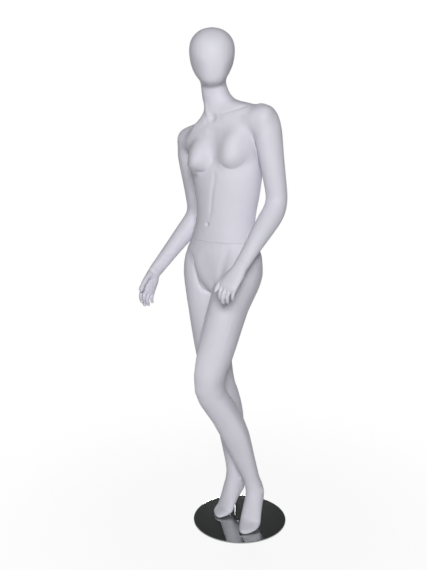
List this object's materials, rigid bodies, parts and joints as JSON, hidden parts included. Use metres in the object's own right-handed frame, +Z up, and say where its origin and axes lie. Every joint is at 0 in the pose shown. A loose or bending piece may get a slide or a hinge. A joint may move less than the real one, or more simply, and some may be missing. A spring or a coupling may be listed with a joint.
{
  "type": "full body mannequin",
  "caption": "Faceless standing display mannequin in a walking pose, moulded in sections that part at the waist, a hip, the shoulders and the wrists, held on a round steel base by a heel rod.",
  "frame": {"origin": "centre of the round base's underside, on the floor", "axes": "+Z up, the figure's chest faces -Y and its left is +X"},
  "size_m": [0.5433, 0.3955, 1.8],
  "materials": {
    "shell": "satin, pale grey white",
    "base": "polished",
    "rod": "polished",
    "fitting": "zinc plated",
    "pad": "matte"
  },
  "bodies": {
    "base": {"base_plate": "base", "base_pad": "pad", "foot_rod": "rod", "rod_screw": "fitting"},
    "lower_body": {"lower_body_shell": "shell", "foot_socket": "fitting", "foot_set_screw": "fitting", "waist_stud_plate": "fitting", "waist_stud": "fitting", "waist_stud_screws": "fitting", "hip_socket_plate": "fitting", "hip_socket_screws": "fitting"},
    "left_leg": {"left_leg_shell": "shell", "hip_stud_plate": "fitting", "hip_stud": "fitting", "hip_stud_screws": "fitting"},
    "torso": {"torso_shell": "shell", "waist_socket_plate": "fitting", "waist_socket_screws": "fitting", "left_shoulder_socket_plate": "fitting", "left_shoulder_socket_screws": "fitting", "right_shoulder_socket_plate": "fitting", "right_shoulder_socket_screws": "fitting"},
    "left_arm": {"left_arm_shell": "shell", "left_shoulder_stud_plate": "fitting", "left_shoulder_stud": "fitting", "left_shoulder_stud_screws": "fitting", "left_wrist_socket_plate": "fitting", "left_wrist_socket_screws": "fitting"},
    "left_hand": {"left_hand_shell": "shell", "left_wrist_stud_plate": "fitting", "left_wrist_stud": "fitting", "left_wrist_stud_screws": "fitting"},
    "right_arm": {"right_arm_shell": "shell", "right_shoulder_stud_plate": "fitting", "right_shoulder_stud": "fitting", "right_shoulder_stud_screws": "fitting", "right_wrist_socket_plate": "fitting", "right_wrist_socket_screws": "fitting"},
    "right_hand": {"right_hand_shell": "shell", "right_wrist_stud_plate": "fitting", "right_wrist_stud": "fitting", "right_wrist_stud_screws": "fitting"}
  },
  "joints": [
    {"name": "figure_lift", "type": "slide", "parent": "base", "child": "lower_body", "axis": [0, 0, 1], "range_m": [0, 0.06]},
    {"name": "waist_turn", "type": "hinge", "parent": "lower_body", "child": "torso", "pos_m": [-0.067, -0.021, 1.085], "axis": [0, 0, -1], "range_deg": [0, 40]},
    {"name": "hip_turn", "type": "hinge", "parent": "lower_body", "child": "left_leg", "pos_m": [0.013, -0.023, 0.966], "axis": [-0.7547, 0, 0.6561], "range_deg": [0, 25]},
    {"name": "left_shoulder_turn", "type": "hinge", "parent": "torso", "child": "left_arm", "pos_m": [0.06847, 0.00447, 1.48968], "axis": [-0.9824, -0.1732, -0.0698], "range_deg": [0, 60]},
    {"name": "right_shoulder_turn", "type": "hinge", "parent": "torso", "child": "right_arm", "pos_m": [-0.18647, -0.04047, 1.42032], "axis": [-0.9824, -0.1732, 0.0698], "range_deg": [0, 60]},
    {"name": "left_wrist_turn", "type": "hinge", "parent": "left_arm", "child": "left_hand", "pos_m": [0.112, -0.141, 1.034], "axis": [-0.0593, -0.6999, -0.7118], "range_deg": [0, 60]},
    {"name": "right_wrist_turn", "type": "hinge", "parent": "right_arm", "child": "right_hand", "pos_m": [-0.344, -0.082, 0.943], "axis": [-0.2572, -0.6242, -0.7377], "range_deg": [0, 60]}
  ]
}
